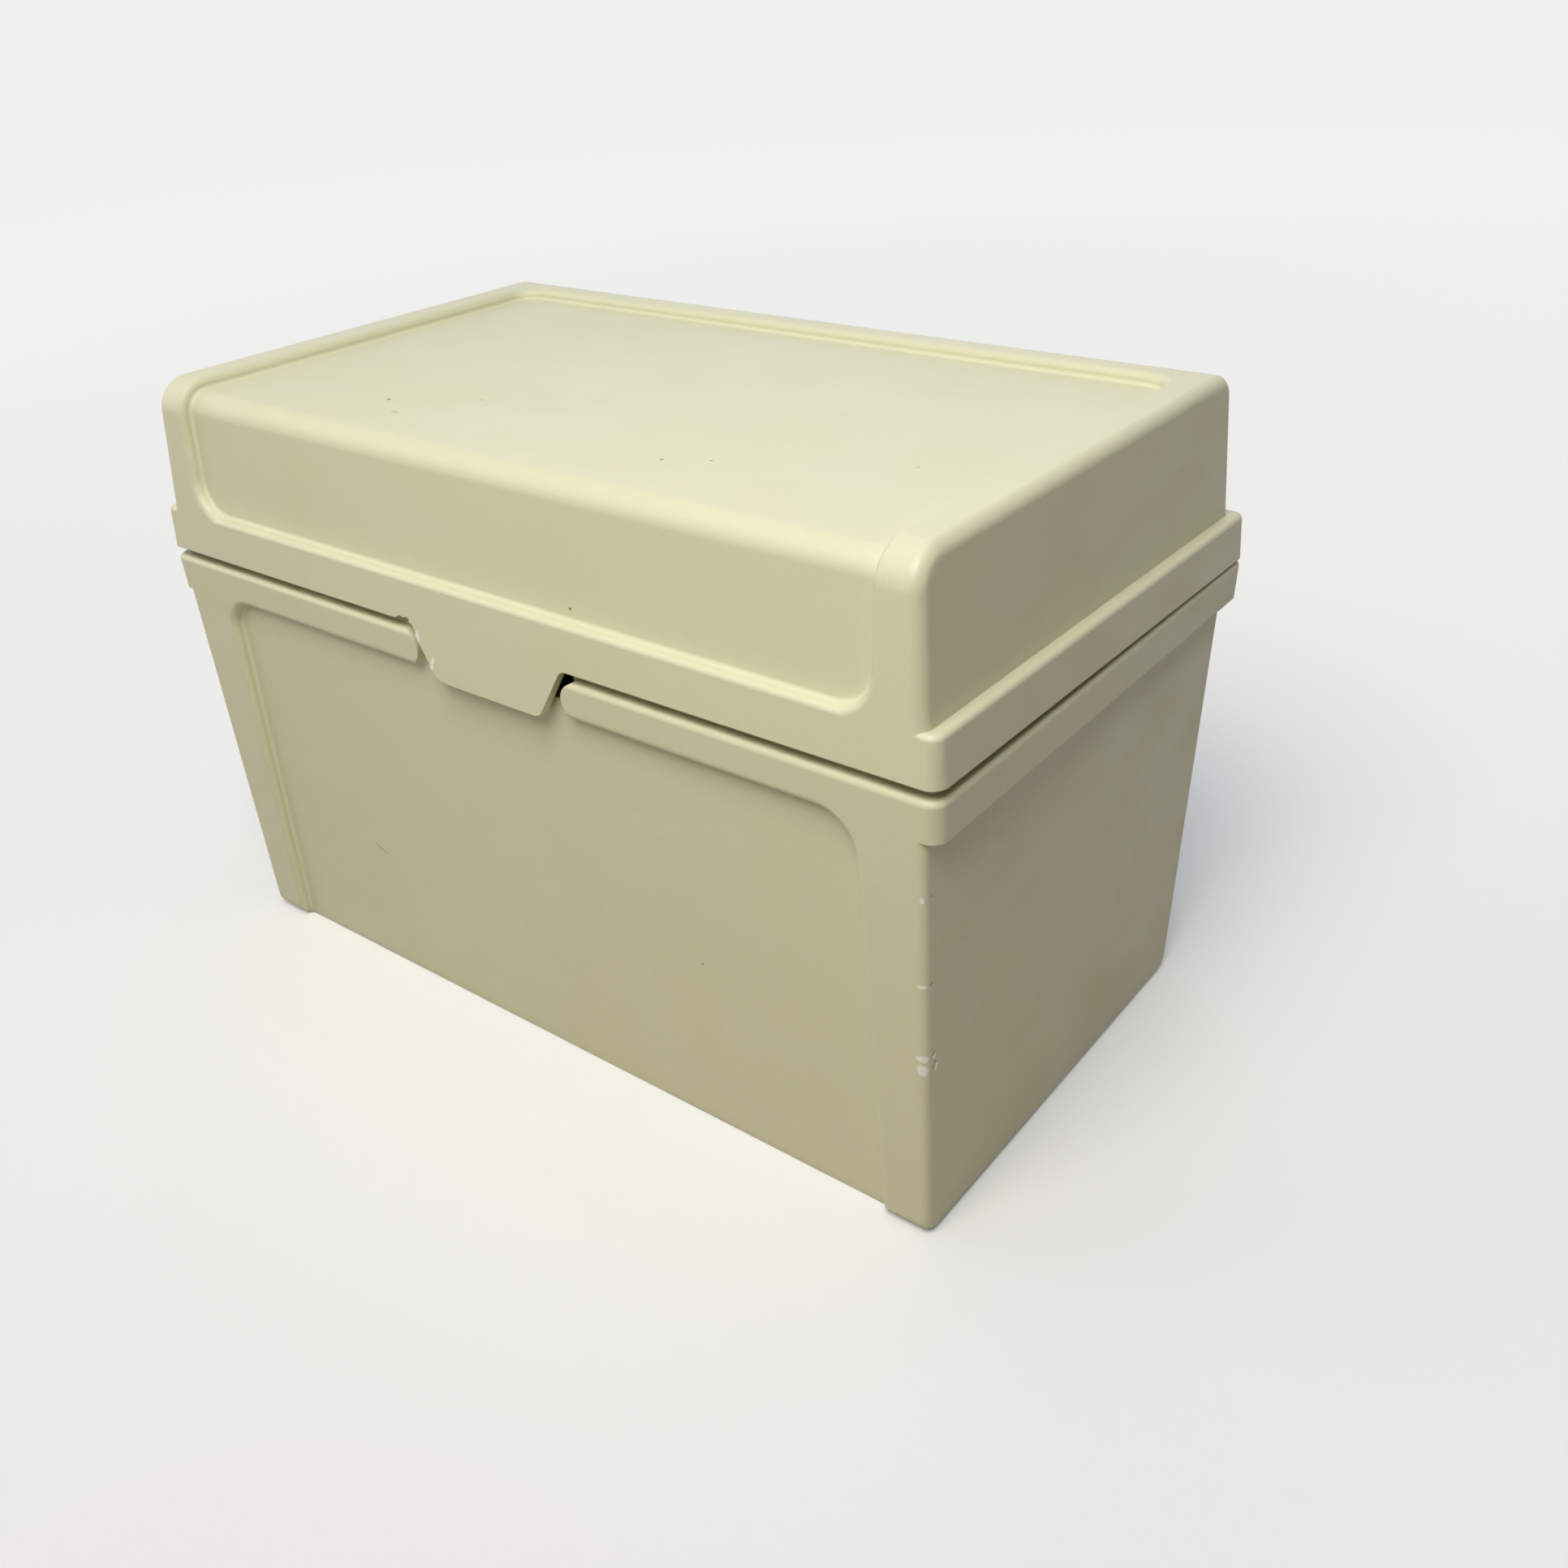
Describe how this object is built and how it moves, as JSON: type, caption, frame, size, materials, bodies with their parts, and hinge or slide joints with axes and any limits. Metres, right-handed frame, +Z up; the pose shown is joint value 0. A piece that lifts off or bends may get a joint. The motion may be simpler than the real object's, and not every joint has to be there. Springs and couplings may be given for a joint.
{
  "type": "index card file box",
  "caption": "Free-standing moulded box that files index cards, with a flip-top lid, a front latch tab and a sunken panel wrapping over the lid.",
  "frame": {"origin": "on the flat underside, midway between the ends and midway between the front face and the back of the rim bands", "axes": "+X to the right end as seen from the front, -Y out of the front face with the latch tab, +Z up"},
  "size_m": [0.142, 0.0889, 0.0945],
  "materials": {
    "tub_plastic": "worn satin cream plastic",
    "lid_plastic": "worn satin cream plastic",
    "pin_steel": "drawn wire, dull"
  },
  "bodies": {
    "base": {"base": "tub_plastic", "hinge_pin_left": "pin_steel", "hinge_pin_right": "pin_steel"},
    "lid": {"lid": "lid_plastic"}
  },
  "joints": [
    {"name": "lid_hinge", "type": "hinge", "parent": "base", "child": "lid", "pos_m": [0, 0.043, 0.06735], "axis": [-1, 0, 0], "range_deg": [0, 105]}
  ]
}
